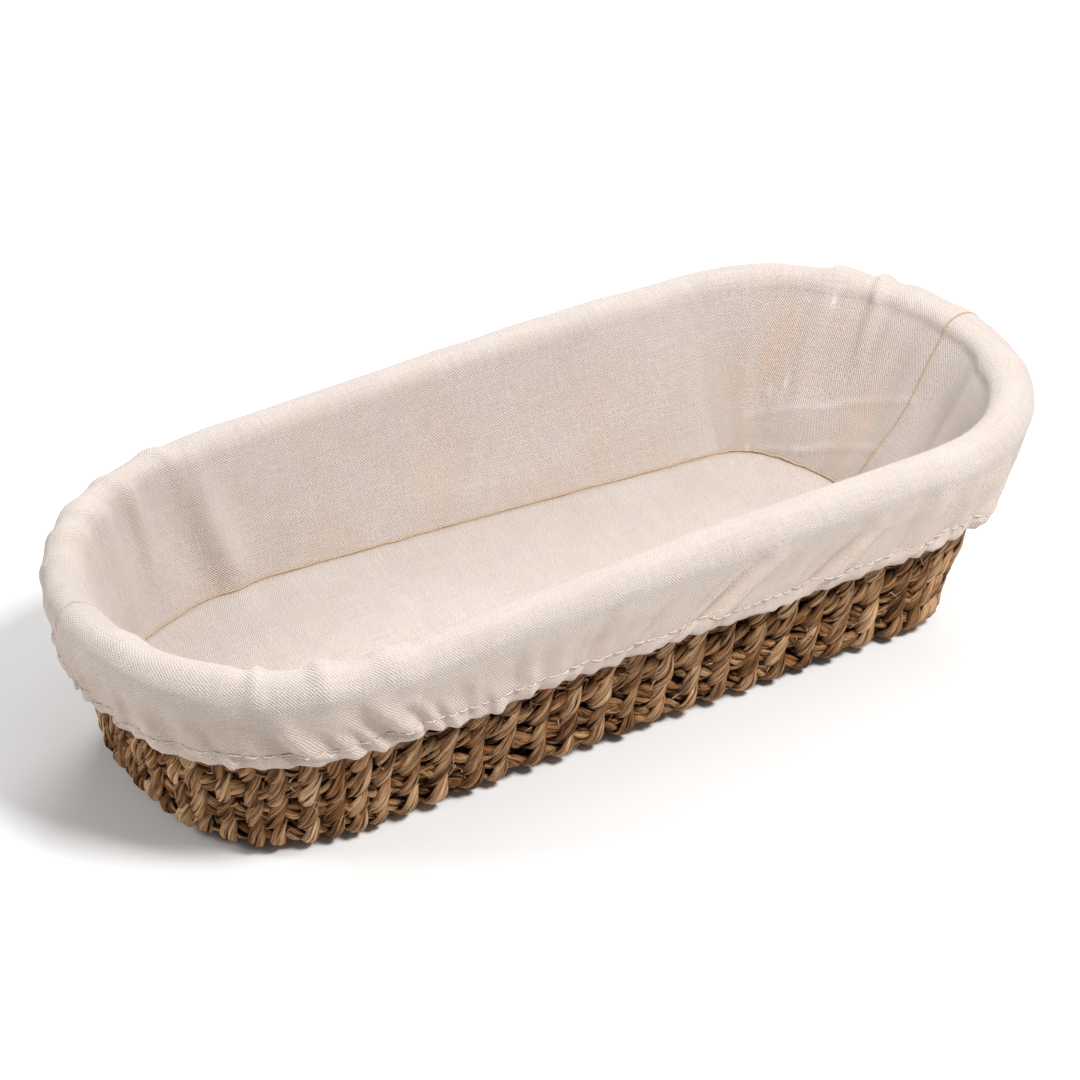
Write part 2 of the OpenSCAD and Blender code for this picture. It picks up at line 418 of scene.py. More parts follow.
def straw_material(name, dark, mid, light, husk):
    """Dried leaf: streaks and fine dark veins along each strand, painted shade in its creases and recesses,
    and strands that differ.
    """
    material, tree = new_material(name)
    fibre, crease, strand, warmth = own_coordinates(tree)
    fine = noise_node(tree, fibre, (0.12, 3.2, 3.2), 5.0, Roughness=0.62)
    broad = noise_node(tree, fibre, (0.07, 0.5, 0.5), 3.0)
    lines = noise_node(tree, fibre, (0.05, 0.85, 0.85), 1.5)
    blotch = noise_node(tree, fibre, (0.16, 0.3, 0.3), 4.0)
    level = total(tree, times(tree, fine, 0.75), (broad, 0.45), (strand, 0.13))
    colour = ramp(tree, level, [(0.42, dark), (0.56, mid), (0.8, light)])
    patch = scaled(tree, blotch, 5.0, -3.05)
    # husk-coloured patches, and the painted warm shade in the recesses that the third tone carries
    warm = times(tree, math_node(tree, "ADD", patch, warmth), 0.8, clamp=True)
    colour = mix(tree, warm, colour, husk)
    ridge = math_node(tree, "ABSOLUTE", math_node(tree, "SUBTRACT", lines, 0.5))
    vein = math_node(tree, "SUBTRACT", 1.0, times(tree, ridge, 55.0), clamp=True)
    # painted shade in the creases, recesses and gaps, with the dark veins, draws the colour towards
    # near-black
    shade = times(tree, total(tree, crease, (vein, 0.55)), 0.85, clamp=True)
    colour = mix(tree, shade, colour, tuple(0.25 * c for c in dark))
    rough = scaled(tree, fine, 0.3, 0.42)
    relief = math_node(tree, "SUBTRACT", fine, times(tree, vein, 0.6))
    relief = total(tree, relief, (lines, 1.6))
    height = node(tree, "ShaderNodeBump", {"Height": relief, "Strength": 0.8, "Distance": 0.0005})
    surface(tree, node(tree, "ShaderNodeBsdfPrincipled", {
        "Base Color": colour, "Roughness": rough, "Normal": height.outputs[0], "Specular IOR Level": 0.1}))
    return material


# Distance between the cloth's threads, both ways
WARP_PITCH = 0.46
WEFT_PITCH = 0.56


def cloth_material(name, light, shaded, through=0.2):
    """Unbleached plain weave: threads that cross over and under, with slubs, knots and warm flecks, and the
    painted shade and light that its tones carry.
    """
    material, tree = new_material(name)
    fibre, crease, warmth, lit_and_pale = own_coordinates(tree)
    bent = fibre
    for scale, reach in ((0.09, 1.6), (0.55, 0.5)):
        sway = node(tree, "ShaderNodeTexNoise", {"Vector": fibre, "Scale": scale, "Detail": 2.0})
        shift = node(tree, "ShaderNodeVectorMath", {0: sway.outputs["Color"], "Scale": reach},
                     operation="SCALE")
        bent = node(tree, "ShaderNodeVectorMath", {0: bent, 1: shift.outputs[0]}, operation="ADD").outputs[0]
    axes = node(tree, "ShaderNodeSeparateXYZ", {0: bent})
    waves = []
    for axis, pitch in ((0, WARP_PITCH), (1, WEFT_PITCH)):
        waves.append(math_node(tree, "SINE", times(tree, axes.outputs[axis], math.pi / pitch)))
    over = times(tree, waves[0], waves[1])
    thread = math_node(tree, "ABSOLUTE", over)
    along_warp = noise_node(tree, fibre, (0.06, 1.6, 1.0), 3.0)
    along_weft = noise_node(tree, fibre, (1.6, 0.06, 1.0), 3.0)
    cloud = node(tree, "ShaderNodeTexNoise", {"Vector": fibre, "Scale": 0.035, "Detail": 3.0}).outputs["Fac"]
    fleck = noise_node(tree, fibre, (1.6, 0.7, 1.0), 1.0)
    slub = math_node(tree, "ADD", along_warp, along_weft)
    level = total(tree, times(tree, slub, 0.3), (thread, 0.42), (over, 0.15), (cloud, 0.2))
    colour = ramp(tree, level, [(0.25, shaded), (0.75, light)])
    nep = node(tree, "ShaderNodeTexVoronoi", {"Vector": fibre, "Scale": 0.05}).outputs["Distance"]
    knot = math_node(tree, "SUBTRACT", 1.0, times(tree, nep, 22.0), clamp=True)
    # the third tone pales the cloth: painted light in spots and on the gathers' ridges, and paler pressed
    # lines; the knots are the cloth's own
    white = math_node(tree, "ADD", times(tree, knot, 0.6), lit_and_pale, clamp=True)
    colour = mix(tree, white, colour, (0.95, 0.91, 0.86))
    tint = times(tree, math_node(tree, "SUBTRACT", fleck, 0.62), 8.0, clamp=True)
    # the second tone warms the cloth: warm flecks, where the straw shows through, and painted warm shade
    # over the cuff and hem
    warm = math_node(tree, "ADD", times(tree, tint, 0.5), warmth, clamp=True)
    colour = mix(tree, warm, colour, tuple(c * k for c, k in zip(light, (0.91, 0.79, 0.69))))
    # the first tone browns the seams, and paints shade into the hollows between the gathers
    colour = mix(tree, times(tree, crease, 0.75, clamp=True), colour, (0.42, 0.25, 0.1))
    height = total(tree, over, (slub, 0.8))
    rise = node(tree, "ShaderNodeBump", {"Height": height, "Strength": 0.8, "Distance": 0.0002})
    shader = node(tree, "ShaderNodeBsdfPrincipled", {
        "Base Color": colour, "Roughness": 0.9, "Normal": rise.outputs[0], "Specular IOR Level": 0.2,
        "Sheen Weight": 0.25, "Sheen Roughness": 0.5})
    glow = node(tree, "ShaderNodeBsdfTranslucent", {"Color": colour, "Normal": rise.outputs[0]})
    surface(tree, node(tree, "ShaderNodeMixShader", {0: through, 1: shader.outputs[0], 2: glow.outputs[0]}))
    return material


straw = straw_material("straw_stems", dark=(0.045, 0.014, 0.003), mid=(0.25, 0.11, 0.038),
                       light=(0.6, 0.35, 0.17), husk=(0.42, 0.14, 0.028))
twine = straw_material("straw_leaf", dark=(0.055, 0.018, 0.004), mid=(0.3, 0.14, 0.056),
                       light=(0.75, 0.48, 0.27), husk=(0.43, 0.145, 0.03))
cloth = cloth_material("cloth", (0.86, 0.775, 0.725), (0.58, 0.475, 0.41))
stitching = cloth_material("stitching_thread", (0.84, 0.755, 0.69), (0.7, 0.6, 0.52), through=0.05)
seam_thread = cloth_material("seam_thread", (0.71, 0.55, 0.39), (0.48, 0.33, 0.2), through=0.05)
elastic = cloth_material("elastic_band", (0.85, 0.84, 0.81), (0.68, 0.66, 0.62), through=0.05)


# ---- Straw ----

def leaf_section(far, m, rng, folds, depth):
    """Scale of each point of a strand's section along its length, and how deep in a crease it is, for the
    painted shade in the creases.
    """
    angle = np.arange(m) * TAU / m
    shape = np.ones((len(far), m))
    shade = np.zeros((len(far), m))
    for fold in range(folds):
        seed = new_seed(rng)
        centre = TAU * fold / folds + rng.uniform(-0.5, 0.5) + 0.6 * noise1(far / 13, seed)
        width = rng.uniform(0.17, 0.32)
        deep = np.clip(0.65 + 0.6 * noise1(far / 8, seed + 1), 0.05, 1.2)
        away = (angle[None] - centre[:, None] + math.pi) % TAU - math.pi
        groove = deep[:, None] * bump(away, 0, width)
        shape -= depth * groove
        shade += groove
    grain = noise2(far[:, None] / 3.5, angle[None] * 2.2 + rng.uniform(0, 50), new_seed(rng))
    return shape + 0.05 * grain, np.clip(shade, 0, 1) ** 1.3


def strip_section(n, m):
    """The plain section of a strip of leaf, n times over, and the darkness along its two edges."""
    edge = np.abs(np.cos(np.arange(m) * TAU / m)) ** 6
    return np.ones((n, m)), np.tile(0.85 * edge, (n, 1))


def pinch_at_ribs(s):
    """1 where a rib crosses, 0 midway between ribs."""
    pitch = np.where(s // SIDE % 2 == 0, SIDE / RIBS_A_SIDE, SIDE / RIBS_AN_END)
    near = (s % SIDE / pitch - 0.5) % 1
    near = np.minimum(near, 1 - near)
    return bump(near, 0, 0.25)


# The stems in a coil, and half the coil's depth through the wall
STEMS = 12
COIL_HALF_DEPTH = 1.5


def coil(mesh, q, rng, half_q, step=1.2, start=None, length=ROUND + 9):
    """A bundle of loosely twisted stems that runs round the basket at q, half_q wide to either side."""
    far = np.arange(0, length, step)
    if start is None:
        start = rng.uniform(2.2, 2.4) * SIDE
    tips = np.clip(np.minimum(far, length - far) / 7, 0.15, 1)
    lay = rng.choice([-1, 1]) * rng.uniform(30, 44)
    for k in range(STEMS):
        seed = new_seed(rng)
        s = start + far + rng.uniform(-2, 2)
        turn = TAU * (k / STEMS + far / lay) + 0.9 * noise1(far / 11, seed)
        pinch = pinch_at_ribs(s)
        reach_q = half_q * (1 - 0.2 * pinch) * (1 + 0.2 * noise1(far / 6, seed + 1))
        dq = reach_q * np.cos(turn)
        dd = COIL_HALF_DEPTH * np.sin(turn)
        swell = (1 - pinch) * (1 + 0.6 * noise1(far / 5, seed + 2))
        dd = dd + np.where(np.sin(turn) > -0.2, 1.1, -0.6) * swell
        point, out, _, up = frame_at(s, q + dq)
        line = point + out * dd[:, None]
        thin = out * np.sin(turn)[:, None] + up * (np.cos(turn) * 0.6)[:, None] + out * 1e-3
        half_w = 1.3 * tips * (1 + 0.35 * noise1(far / 7, seed + 3)) * (1 - 0.12 * pinch)
        half_t = 0.62 * tips * (1 + 0.25 * noise1(far / 6, seed + 4)) * (1 - 0.2 * pinch)
        shape, crease = strip_section(len(far), 6)
        tone = (rng.uniform(-0.9, 0.9), rng.uniform(-0.5, 0.45))
        mesh.tube(line, thin, half_w, half_t, shape, crease, tone, rng.uniform(0, 900, 3), (point, out))


# A twined leaf shows on the outside for this much of its turn either way, and then passes in between coils
LOBE_TURN = 0.66 * math.pi
# How far the leaf slants across its lobe
LOBE_SLANT = 2.3
# How far out it stands on the wall, at the foot, under the base, and where it passes in
WALL_REACH = 2.6
FOOT_REACH = 3.4
BASE_REACH = 3.0
TUCK_REACH = 0.9
# How far the leaf has rolled over by the ends of its lobe
LOBE_ROLL = math.radians(52)
# The strips of leaf side by side over the outer face of a strand, and half the width of one
STRIPS = 4
STRIP_HALF = 1.2
# Distance between the sections along a strand
RIB_STEP = 1.3


def strand(parts, line, thin, half_w, half_t, tone, rng, face):
    """A twined leaf: a core painted dark as shade between the strips, and folded strips of leaf over its
    outer face.
    parts pairs each mesh with the stretch of line that goes into it."""
    n = len(line)
    thin, wide = section_axes(line, thin)
    # the core's even crease tone is painted shade, which shows in the gaps between the strips
    tubes = [(line, thin, 0.84 * half_w, 0.84 * half_t, np.ones((n, 6)), np.full((n, 6), 0.75), tone)]
    for k in range(STRIPS):
        seed = new_seed(rng)
        place = np.arange(n) / 6.2
        turn = math.pi * (0.12 + 0.76 * k / (STRIPS - 1)) + 0.3 * noise1(place, seed)
        rise = 0.88 + 0.12 * noise1(place * 1.3, seed + 1)
        x, y = half_w * np.cos(turn) * rise, half_t * np.sin(turn) * rise
        way = unit(np.stack([np.cos(turn) / half_w, np.sin(turn) / half_t], -1) + 1e-9)
        middle = line + wide * x[:, None] + thin * y[:, None]
        facing = wide * way[:, :1] + thin * way[:, 1:]
        width = STRIP_HALF * half_w / 3 * (1 + 0.45 * noise1(place * 1.1, seed + 2))
        thick = 0.42 * (1 + 0.3 * noise1(place, seed + 3))
        own = (tone[0] + rng.uniform(-0.55, 0.55), tone[1] + rng.uniform(-0.2, 0.25))
        tubes.append((middle, facing, width, thick, *strip_section(n, 8), own))
    for *arrays, own in tubes:
        offset = rng.uniform(0, 900, 3)
        for mesh, cut in parts:
            mesh.tube(*(a[cut] for a in arrays), own, offset, (face[0][cut], face[1][cut]))


def rib(base, wall, s_mid, q0, crowded, rng):
    """A twined pair of leaves that passes to either side of each coil, from the base up to the rim."""
    q = np.arange(q0, Q_TOP, RIB_STEP)
    split = int(np.searchsorted(q, Q_CORNER - 2))
    parts = [(wall, slice(split, None))]
    if split > 3:
        parts.append((base, slice(0, split + 1)))
    wander = 0.8 * noise1(q / 19, new_seed(rng))
    lag = 0.5 * noise1(q / 10, new_seed(rng))
    on_wall = ease(q, Q_CORNER - 2, Q_WALL)
    reach = BASE_REACH + (WALL_REACH - BASE_REACH) * on_wall
    reach = reach + (FOOT_REACH - WALL_REACH) * bump(q, Q_ROWS[BASE_COILS + 1], 6)
    reach = reach * (1 + 0.16 * noise1(q / 8, new_seed(rng)) * on_wall)
    slant = LOBE_SLANT * (1 + 0.3 * noise1(q / 8, new_seed(rng)))
    crowd = np.clip(profile(q)[0] / 60, 0.4, 0.94) if crowded else np.ones_like(q)
    point, out, along, _ = frame_at(s_mid + wander, q)
    for side in (0, 1):
        seed = new_seed(rng)
        turn = math.pi * (row_at(q) + side) + lag + 0.15 * noise1(q / 6, seed)
        phase = (turn + math.pi) % TAU - math.pi
        u = np.clip(phase / LOBE_TURN, -1, 1)
        inside = np.clip((np.abs(phase) - LOBE_TURN) / (math.pi - LOBE_TURN), 0, 1)
        sign = np.sign(phase)
        arch = np.cos(u * math.pi / 2)
        lateral = slant * crowd * np.where(inside > 0, sign * np.cos(inside * math.pi / 2), u)
        depth = TUCK_REACH + (reach - TUCK_REACH) * arch ** 0.8
        depth = np.where(inside > 0, TUCK_REACH - (TUCK_REACH + reach) * np.sin(inside * math.pi / 2), depth)
        roll = LOBE_ROLL * u + sign * (math.pi - LOBE_ROLL) * inside + 0.3 * noise1(q / 7, seed + 1)
        line = point + along * lateral[:, None] + out * depth[:, None]
        thin = along * np.sin(roll)[:, None] + out * np.cos(roll)[:, None]
        half_w = (1.3 + 1.6 * arch ** 0.8 * (1 - 0.3 * u)) * crowd * (1 + 0.22 * noise1(q / 7, seed + 2))
        half_t = (1.15 + 0.3 * arch) * (1 + 0.14 * noise1(q / 6, seed + 3))
        tone = (rng.uniform(-0.8, 0.9), rng.uniform(-0.5, 0.3))
        strand(parts, line, thin, half_w, half_t, tone, rng, (point, out))


# How far from the base's middle the ribs start: along a side, and in turn round an end, where they crowd
SIDE_START = 1.5
END_STARTS = (5.0, 31.0, 19.0, 31.0)


def rib_places(rng):
    """For each rib: its side or end, its place round the outline, its start, and if it is crowded."""
    for zone in range(4):
        on_end = zone % 2 == 1
        count = RIBS_AN_END if on_end else RIBS_A_SIDE
        for i in range(count):
            start = END_STARTS[i % 4] if on_end else SIDE_START
            yield zone, (zone + (i + 0.5) / count) * SIDE + rng.uniform(-0.6, 0.6), start, on_end


# Distance along the rim between the turns of its wrapping, and where the rim's strands begin, at the back
WRAP_PITCH = 11.5
RIM_START = 2.3 * SIDE


def round_rim(far, turn, reach):
    """Points that wind round the middle of the rim, reach away from it, and the way out from it there."""
    x, y, nx, ny = oval(RIM_START + far, RIM_R, RIM_Z)
    thin = np.stack([nx * np.cos(turn), ny * np.cos(turn), np.sin(turn)], -1)
    return np.stack([x, y, np.full(len(x), RIM_Z)], -1) + thin * reach, thin


def rim_wrap(mesh, rng):
    """The rib ends, laid over the rim one after another."""
    far = np.arange(0, ROUND + 6, 0.25)
    turn = TAU * far / WRAP_PITCH + 0.5 * noise1(far / 9, 811)
    reach = 4.1 * (1 + 0.06 * noise1(far / 5, 812))
    line, thin = round_rim(far, turn, reach[:, None])
    half_w = 4.2 * (1 + 0.15 * noise1(far / 3, 813))
    half_t = 1.15 * (1 + 0.15 * noise1(far / 3, 814))
    shape, crease = leaf_section(far * 2.5, 24, rng, 6, 0.2)
    mesh.tube(line, thin, half_w, half_t, shape, crease, (0.1, -0.1), rng.uniform(0, 900, 3))


def rim_core(mesh, rng):
    """Three stems twisted together, which the rim is wrapped round."""
    far = np.arange(0, ROUND + 6, 2.5)
    half_w, half_t = np.full(len(far), 1.9), np.full(len(far), 1.6)
    for k in range(3):
        line, thin = round_rim(far, TAU * (k / 3 + far / 60), 1.5)
        shape, crease = leaf_section(far, 10, rng, 3, 0.25)
        mesh.tube(line, thin, half_w, half_t, shape, crease, (-0.3, 0), rng.uniform(0, 900, 3))


def frayed(mesh, rng, count):
    """Loose fibres and torn leaf edges that stand off the twining."""
    for _ in range(count):
        s = rng.uniform(0, ROUND)
        q = rng.uniform(Q_CORNER + 2, Q_HEM)
        length = rng.uniform(2.0, 6.5)
        t = np.linspace(0, 1, 9)
        heading = rng.uniform(0, TAU)
        curl = rng.uniform(-1.6, 1.6)
        lift = rng.uniform(-0.05, 0.35)
        point, out, along, up = (v[0] for v in frame_at(np.array([s]), np.array([q])))
        angle = heading + curl * t
        walk = np.cumsum(np.stack([np.cos(angle), np.sin(angle)], -1), 0) * length / len(t)
        stand = (2.9 + lift * length * t ** 1.5)[:, None]
        line = point + out * stand + along * walk[:, :1] + up * walk[:, 1:]
        line[:, 2] = np.maximum(line[:, 2], 0.8)
        half_w = rng.uniform(0.16, 0.42) * (1 - 0.8 * t)
        shape, crease = leaf_section(t * 10, 6, rng, 1, 0.1)
        tone = (rng.uniform(0.0, 1.2), rng.uniform(-0.3, 0.2))
        thin = np.tile(out, (len(t), 1))
        mesh.tube(line, thin, half_w, half_w * 0.4, shape, crease * 0.3, tone, rng.uniform(0, 900, 3))


def build_coils(rng):
    rows = [("base_core", 0, {"half_q": 2.4, "start": 0.0, "length": SIDE + 4})]
    rows += [(f"base_coil_{i}", i, {"half_q": 2.6, "step": 1.6}) for i in range(1, BASE_COILS + 1)]
    rows += [(f"wall_coil_{i}", BASE_COILS + i, {"half_q": 3.6}) for i in range(1, WALL_COILS + 1)]
    for coil_node, row, settings in rows:
        mesh = Mesh()
        coil(mesh, Q_ROWS[row], rng, **settings)
        mesh.build(f"{coil_node}_bundle", straw, "basket", "straw", [coil_node])


# How many loose fibres stand off the wall
LOOSE_FIBRES = 620


def build_straw():
    rng = np.random.default_rng(41)
    build_coils(rng)
    rim = Mesh()
    rim_core(rim, rng)
    rim_wrap(rim, rng)
    rim.build("rim_border_wrap", twine, "basket", "straw_twine", ["rim_border"])
    walls = [Mesh() for _ in range(4)]
    bases = [Mesh(), Mesh()]
    for zone, s_mid, start, crowded in rib_places(rng):
        rib(bases[zone % 2], walls[zone], s_mid, start, crowded, rng)
    for mesh, name in zip(walls, ("front", "right", "back", "left")):
        mesh.build(f"twining_{name}_leaves", twine, "basket", "straw_twine", [f"twining_{name}"])
    for mesh, name, nodes in zip(bases, ("sides", "ends"), (["twining_under"], ["twining_over"])):
        mesh.build(f"twining_base_{name}", twine, "basket", "straw_twine", nodes)
    loose = Mesh()
    frayed(loose, rng, LOOSE_FIBRES)
    loose.build("loose_fibres", twine, "basket", "straw_twine", [])


build_straw()


# ---- Liner ----

# Height of the seam between floor and wall in the middle, and its slope up to the left end
SEAM_Z = 18.0
SEAM_TILT = 0.05
# It rides up by this much along the back, which begins and ends over these stretches of s
SEAM_RISE = 5.3
RISE_BEGINS = (200, 280)
RISE_ENDS = (568, 628)
# It stands off the front corner of the right-hand end by this much, over these stretches from the right tip
SEAM_PULL = 7.0
PULL_BEGINS = (-110, -60)
PULL_ENDS = (-15, 30)
# and it cuts across the back corner there by this much, at this distance from the tip
SEAM_CHORD = 1.8
CHORD_AT = 42
WALL_LEAN = 0.27
lean_angle = math.atan(WALL_LEAN)
ROLL_IN = (RIM_R - ROLL_R * math.cos(lean_angle), RIM_Z + ROLL_R * math.sin(lean_angle))
ROLL_OUT = (RIM_R + ROLL_R * math.cos(lean_angle), RIM_Z - ROLL_R * math.sin(lean_angle))
CASING = HEM_HI - HEM_LO
WALL_CLOTH = (ROLL_IN[1] - SEAM_Z) / math.cos(lean_angle)
ROLL_CLOTH = math.pi * ROLL_R
CUFF_CLOTH = (ROLL_OUT[1] - HEM_HI) / math.cos(LEAN)

# Where the two wall panels are sewn together, at the middle of each end
END_HALF = SIDE / 2
RIGHT_TIP = SIDE + END_HALF
LEFT_TIP = -END_HALF


def around(s, centre):
    """Signed distance round the outline from centre to s."""
    return (np.asarray(s, float) - centre + ROUND / 2) % ROUND - ROUND / 2


def seam_height(s, x):
    along_back = ease(s % ROUND, *RISE_BEGINS) * (1 - ease(s % ROUND, *RISE_ENDS))
    return SEAM_Z - SEAM_TILT * x + SEAM_RISE * along_back


def liner_curve(s, t):
    """Radius, height and outward direction of the cloth.
    t is 0 at the floor seam, 1 to 2 over the roll, 3 at the stitch line and 4 at the hem's edge."""
    s, t = np.broadcast_arrays(np.asarray(s, float), np.asarray(t, float))
    x = oval(s, RIM_R, RIM_Z)[0]
    low = seam_height(s, x)
    up = np.clip(t, 0, 1)
    z_wall = low + (ROLL_IN[1] - low) * up
    by_right = around(s, RIGHT_TIP)
    pull = SEAM_PULL * ease(by_right, *PULL_BEGINS) * (1 - ease(by_right, *PULL_ENDS))
    pull += SEAM_CHORD * bump(by_right, CHORD_AT, 20)
    r_wall = ROLL_IN[0] - WALL_LEAN * (ROLL_IN[1] - z_wall) - pull * (1 - up) ** 1.6
    angle = math.pi - lean_angle - math.pi * np.clip(t - 1, 0, 1)
    r_roll = RIM_R + ROLL_R * np.cos(angle)
    z_roll = RIM_Z + ROLL_R * np.sin(angle)
    z_cuff = ROLL_OUT[1] + (HEM_HI - ROLL_OUT[1]) * np.clip(t - 2, 0, 1) - CASING * np.clip(t - 3, 0, 1)
    r_cuff = ROLL_OUT[0] - FLARE * (ROLL_OUT[1] - z_cuff)
    on_wall = (r_wall, z_wall, -math.cos(lean_angle), math.sin(lean_angle))
    on_roll = (r_roll, z_roll, np.cos(angle), np.sin(angle))
    on_cuff = (r_cuff, z_cuff, math.cos(LEAN), -math.sin(LEAN))
    return tuple(np.where(t < 1, a, np.where(t < 2, b, c)) for a, b, c in zip(on_wall, on_roll, on_cuff))


def sewn_drift(s, t):
    """How far the cloth is pulled round the rim beside each end seam, which makes the seams snake."""
    right = 12 * (1 - np.clip(t / 0.6, 0, 1)) ** 1.3 * bump(around(s, RIGHT_TIP), 0, 40)
    left = -9 * ease(t, 1.0, 1.5) * bump(around(s, LEFT_TIP), 0, 40)
    return right + left


# The folds: each runs from one (s, t) to another, and has a width and a height in millimetres.
# s is from the start of the front side, or from an end's tip where the heading says so.
LEFT_FOLDS = [
    # s from the left tip: the broad fold that falls from the rim's back corner, and the hollows beside it
    (-91, 1.6, -107, 0.15, 5.5, 1.7),
    (-79, 1.65, -93, 0.05, 6.5, -2.0),
    (-94, 1.65, -98, 0.9, 3.6, -1.4),
    (-72, 1.7, -76, 0.5, 4.0, 1.0),
    (-65, 1.7, -70, 0.7, 4.2, -1.6),
    (-58, 1.7, -60, 0.3, 5.0, 0.9),
    # small wrinkles over the rim at the left end
    (-49, 1.75, -52, 1.1, 3.0, -0.9),
    (-36, 1.8, -40, 1.15, 2.6, -1.0),
    (-27, 1.8, -20, 1.0, 2.6, -1.2),
    (-15, 1.6, -11, 0.7, 3.2, -0.8),
    (16, 1.5, 15, 0.4, 5.0, 0.7),
]
RIGHT_FOLDS = [
    # down the inner wall, s from the right tip
    (84, 1.2, 86, 0.35, 9.0, -1.0),
    (55, 1.55, 70, 0.35, 6.0, -1.9),
    (46, 1.55, 52, 0.5, 4.0, 0.8),
    (36, 1.65, 36, 0.85, 3.0, -0.7),
    (32, 1.6, 31, 0.95, 2.2, 0.8),
    (27, 1.65, 26, 0.9, 2.8, -0.8),
    (12, 1.5, 14, 0.4, 6.0, -0.8),
    (-16, 1.5, -13, 0.3, 7.0, -1.2),
    (-31, 1.5, -28, 0.5, 6.0, 1.0),
]
CUFF_FOLDS = [
    # dips and bumps of the rim's crest at the front-left corner
    (-46, 1.0, -46, 1.9, 2.2, -1.1),
    (-43, 1.0, -42, 1.8, 2.6, 0.8),
    (-35, 1.0, -34, 1.7, 5.5, -1.7),
    (-26, 1.0, -25, 1.8, 3.6, 1.2),
    (-15, 1.1, -14, 1.8, 2.8, -1.2),
    (-7, 1.2, -4, 1.9, 5.0, 0.7),
    # slanting folds that rise from the hem at the front-left corner
    (-2, 3.4, -18, 2.2, 3.2, -1.3),
    (3, 3.4, -12, 2.3, 3.6, 0.9),
    (-30, 3.4, -43, 2.4, 3.6, -0.8),
    (-24, 3.4, -36, 2.5, 3.2, 0.8),
    (-47, 3.4, -57, 2.5, 3.0, -0.6),
    (-61, 3.6, -66, 2.6, 2.6, -0.8),
    (-81, 3.9, -80, 2.6, 2.4, -1.1),
    (-85, 3.9, -83, 2.4, 2.4, 0.8),
    (-90, 3.9, -88, 2.5, 2.2, -1.1),
    # slanting folds that rise the other way towards the right
    (58, 3.2, 68, 2.3, 4.0, -0.6),
    (104, 3.0, 124, 2.25, 3.4, -1.0),
    (112, 3.0, 131, 2.3, 3.4, 0.7),
    (145, 3.1, 166, 2.4, 3.2, -1.0),
    (152, 3.1, 172, 2.4, 3.2, 0.8),
    (180, 3.2, 189, 2.2, 3.0, -1.1),
    (187, 3.2, 196, 2.3, 2.8, 0.9),
    (199, 3.4, 206, 2.3, 2.6, -1.2),
    (212, 3.4, 217, 2.2, 2.6, -1.0),
    (219, 3.4, 224, 2.3, 2.6, 0.9),
]
# Faint pressed lines that run along the right-hand inner wall, s from the right tip
PRESSED_LINES = [(-1, 0.61, 37, 0.36), (37, 0.36, 76, 0.22), (6, 0.28, 43, 0.09), (43, 0.09, 70, 0.03)]
# Spots of painted light on the same wall, where light comes through gaps in the straw behind: s from the
# right tip, t, half width in millimetres, half height in t
LIT_SPOTS = [(64, 0.39, 1.1, 0.05), (57, 0.45, 0.9, 0.035), (75, 0.03, 2.0, 0.03), (46, 0.95, 0.9, 0.04)]
# Warmer patches, where more of the straw shows through: the same four, and a strength
WARM_PATCHES = [
    (82, 0.42, 9, 0.15, 0.6),
    (68, 0.55, 4, 0.13, 0.55),
    (61, 0.78, 3.5, 0.15, 0.45),
    (40, 0.78, 3, 0.14, 0.4),
    (31, 0.92, 3, 0.08, 0.45),
    (47, 0.6, 4, 0.2, 0.35),
    (76, 0.12, 8, 0.07, 0.45),
    (14, 0.4, 6, 0.25, 0.35),
]
# How much deeper the folds are than the heights above
FOLD_GAIN = 1.6
# At the right-hand end the cloth stands off the rim's inner face by this much, and the cuff off the straw
BRIDGE = 2.8
CUFF_STAND = 1.9
# How much the hem's puckers lean at each s: this far round the rim for each step of t upwards
LEAN_AT = (
    (-98, 0), (-60, -5), (0, -14), (45, 2), (100, 20), (200, 13), (300, 5), (500, -8), (ROUND - 98, 0))

RELIEF_S = np.arange(0, ROUND, 0.8)
RELIEF_T = np.linspace(0, 4.2, 253)


# A fold dies away over this stretch of t beyond its ends
FOLD_FADE = 0.4


def fold(s_a, t_a, s_b, t_b, width, height):
    """The height over the whole liner of one soft fold, which dies away beyond its two ends."""
    along = np.clip((RELIEF_T - t_a) / (t_b - t_a), 0, 1)
    away = around(RELIEF_S[:, None], s_a + (s_b - s_a) * along[None])
    top, bottom = min(t_a, t_b), max(t_a, t_b)
    begun = ease(RELIEF_T, top - FOLD_FADE, top + 0.1)
    over = ease(RELIEF_T, bottom - 0.1, bottom + FOLD_FADE)
    return height * bump(away, 0, width) * (begun * (1 - over))


def gather(place, slope, rise, width, height):
    """A gather in the hem: it leans by slope for each step of t upwards, and dies away over rise."""
    off_line = 3 - RELIEF_T
    middle = place + slope * np.where(off_line > 0, off_line, CASING / CUFF_CLOTH * off_line)
    away = around(RELIEF_S[:, None], middle[None])
    return height * bump(away, 0, width) * ease(RELIEF_T, 3 - 1.3 * rise, 3.1 - 0.3 * rise)


def pressed(s, t):
    """1 along the faint creases that run across the wall, falling to 0 beside them."""
    lines = np.zeros((len(s), len(t)))
    for s_a, t_a, s_b, t_b in PRESSED_LINES:
        away = around(s, RIGHT_TIP + s_a)
        along = np.clip(away / (s_b - s_a), 0, 1)
        inside = ease(away, -3, 0) * (1 - ease(away, s_b - s_a, s_b - s_a + 3))
        lines += inside[:, None] * bump(t[None], (t_a + (t_b - t_a) * along)[:, None], 0.018)
    return lines


def hem_places(rng, least, most, spare):
    """Places round the hem, from least to most millimetres apart, that stop spare short of the first."""
    place = LEFT_TIP
    while place < ROUND + LEFT_TIP - spare:
        yield place
        place += rng.uniform(least, most)


